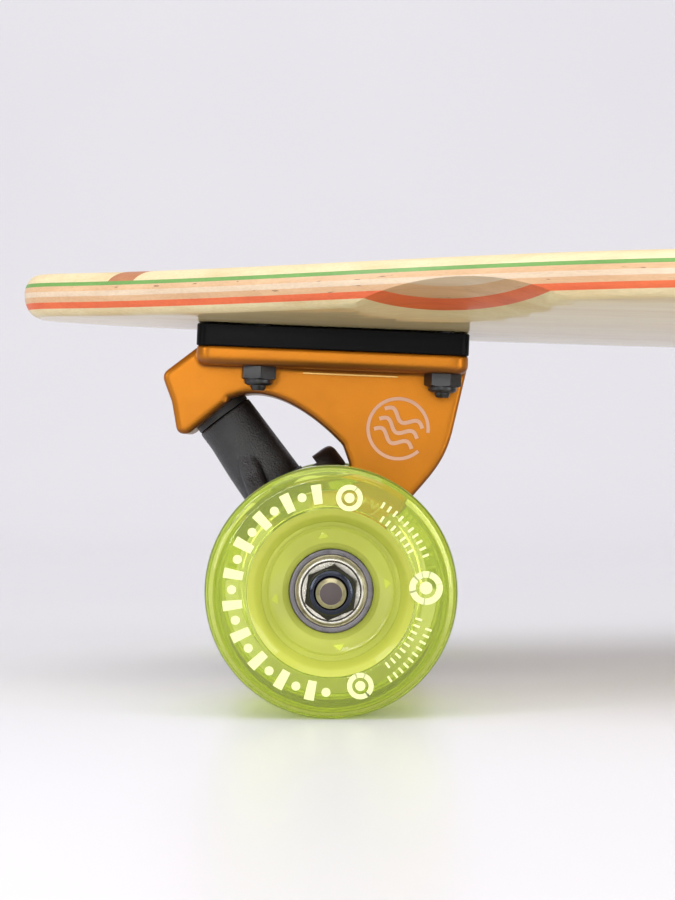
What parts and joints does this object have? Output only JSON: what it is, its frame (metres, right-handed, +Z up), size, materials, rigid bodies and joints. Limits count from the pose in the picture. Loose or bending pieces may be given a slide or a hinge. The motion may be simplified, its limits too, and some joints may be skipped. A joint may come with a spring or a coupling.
{
  "type": "skateboard",
  "caption": "Cruiser skateboard with a tapered laminated wooden deck, co-axial sprung trucks on risers and wide translucent urethane wheels on sealed bearings.",
  "frame": {"origin": "on the floor under the middle of the board", "axes": "+X along the board from the front truck to the rear truck, +Y across it, +Z up"},
  "size_m": [0.864, 0.24, 0.1211],
  "materials": {
    "maple": "clear gloss lacquer over pale maple grain",
    "green_dye": "dyed veneer, sanded edge under clear lacquer",
    "tan_veneer": "cross-grain tan veneer, sanded edge",
    "pale_maple": "whitish maple veneer, sanded edge",
    "orange_dye": "dyed veneer, sanded edge",
    "mahogany": "dark inlaid stripe",
    "riser_plastic": "smooth black plastic",
    "orange_alloy": "orange satin anodised cast alloy",
    "black_alloy": "sand-textured black coat on cast alloy",
    "black_steel": "black oxide",
    "axle_steel": "ground steel",
    "washer_steel": "turned steel with fine scratches",
    "dark_steel": "dark plated lock nut",
    "bearing_steel": "ground bearing steel",
    "ball_steel": "polished balls",
    "cage_brass": "pressed ribbon cage",
    "amber_urethane": "translucent amber urethane",
    "black_plastic": "black urethane washer",
    "acetal": "moulded bearing plastic",
    "lime_urethane": "translucent lime urethane",
    "lime_core": "clear lime moulded core"
  },
  "bodies": {
    "root": {"ply_top_maple": "maple", "ply_green": "green_dye", "ply_upper_tan": "tan_veneer", "ply_core_maple": "pale_maple", "ply_lower_tan": "tan_veneer", "ply_orange": "orange_dye", "ply_bottom_maple": "maple", "inlay_stripes": "mahogany", "mounting_bolts": "black_steel", "mounting_nuts": "black_steel", "front_riser": "riser_plastic", "front_baseplate": "orange_alloy", "front_steering_bolt": "black_steel", "front_steering_washer": "axle_steel", "front_main_bushing": "amber_urethane", "front_thrust_washer": "black_plastic", "rear_riser": "riser_plastic", "rear_baseplate": "orange_alloy", "rear_steering_bolt": "black_steel", "rear_steering_washer": "axle_steel", "rear_main_bushing": "amber_urethane", "rear_thrust_washer": "black_plastic"},
    "hanger_front": {"front_hanger": "black_alloy", "front_stub_axles": "axle_steel", "front_pivot_sleeve": "acetal", "front_axle_washers": "washer_steel", "front_axle_nuts": "dark_steel", "front_bearing_spacers": "axle_steel", "front_inner_races": "bearing_steel"},
    "wheel_front_left": {"front_left_tyre": "lime_urethane", "front_left_core": "lime_core", "front_left_outer_races": "bearing_steel", "front_left_shields": "bearing_steel"},
    "balls_front_left": {"front_left_balls": "ball_steel", "front_left_ball_cages": "cage_brass"},
    "wheel_front_right": {"front_right_tyre": "lime_urethane", "front_right_core": "lime_core", "front_right_outer_races": "bearing_steel", "front_right_shields": "bearing_steel"},
    "balls_front_right": {"front_right_balls": "ball_steel", "front_right_ball_cages": "cage_brass"},
    "hanger_rear": {"rear_hanger": "black_alloy", "rear_stub_axles": "axle_steel", "rear_pivot_sleeve": "acetal", "rear_axle_washers": "washer_steel", "rear_axle_nuts": "dark_steel", "rear_bearing_spacers": "axle_steel", "rear_inner_races": "bearing_steel"},
    "wheel_rear_left": {"rear_left_tyre": "lime_urethane", "rear_left_core": "lime_core", "rear_left_outer_races": "bearing_steel", "rear_left_shields": "bearing_steel"},
    "balls_rear_left": {"rear_left_balls": "ball_steel", "rear_left_ball_cages": "cage_brass"},
    "wheel_rear_right": {"rear_right_tyre": "lime_urethane", "rear_right_core": "lime_core", "rear_right_outer_races": "bearing_steel", "rear_right_shields": "bearing_steel"},
    "balls_rear_right": {"rear_right_balls": "ball_steel", "rear_right_ball_cages": "cage_brass"}
  },
  "joints": [
    {"name": "front_steering", "type": "hinge", "parent": "root", "child": "hanger_front", "pos_m": [-0.3727, 0, 0.0795], "axis": [0.6018, 0, -0.7986], "range_deg": [-25, 25], "stiffness_Nm_per_rad": 40},
    {"name": "front_left_wheel_spin", "type": "hinge", "parent": "hanger_front", "child": "wheel_front_left", "pos_m": [-0.34, -0.086, 0.0325], "axis": [0, 1, 0], "continuous": true},
    {"name": "front_left_ball_roll", "type": "hinge", "parent": "hanger_front", "child": "balls_front_left", "pos_m": [-0.34, -0.086, 0.0325], "axis": [0, 1, 0], "continuous": true},
    {"name": "front_right_wheel_spin", "type": "hinge", "parent": "hanger_front", "child": "wheel_front_right", "pos_m": [-0.34, 0.086, 0.0325], "axis": [0, 1, 0], "continuous": true},
    {"name": "front_right_ball_roll", "type": "hinge", "parent": "hanger_front", "child": "balls_front_right", "pos_m": [-0.34, 0.086, 0.0325], "axis": [0, 1, 0], "continuous": true},
    {"name": "rear_steering", "type": "hinge", "parent": "root", "child": "hanger_rear", "pos_m": [0.3727, 0, 0.0795], "axis": [-0.6018, 0, -0.7986], "range_deg": [-25, 25], "stiffness_Nm_per_rad": 40},
    {"name": "rear_left_wheel_spin", "type": "hinge", "parent": "hanger_rear", "child": "wheel_rear_left", "pos_m": [0.34, -0.086, 0.0325], "axis": [0, 1, 0], "continuous": true},
    {"name": "rear_left_ball_roll", "type": "hinge", "parent": "hanger_rear", "child": "balls_rear_left", "pos_m": [0.34, -0.086, 0.0325], "axis": [0, 1, 0], "continuous": true},
    {"name": "rear_right_wheel_spin", "type": "hinge", "parent": "hanger_rear", "child": "wheel_rear_right", "pos_m": [0.34, 0.086, 0.0325], "axis": [0, 1, 0], "continuous": true},
    {"name": "rear_right_ball_roll", "type": "hinge", "parent": "hanger_rear", "child": "balls_rear_right", "pos_m": [0.34, 0.086, 0.0325], "axis": [0, 1, 0], "continuous": true}
  ],
  "couplings": [
    {"joint": "front_left_ball_roll", "follows": "front_left_wheel_spin", "ratio": 0.63233},
    {"joint": "front_right_ball_roll", "follows": "front_right_wheel_spin", "ratio": 0.63233},
    {"joint": "rear_left_ball_roll", "follows": "rear_left_wheel_spin", "ratio": 0.63233},
    {"joint": "rear_right_ball_roll", "follows": "rear_right_wheel_spin", "ratio": 0.63233}
  ]
}
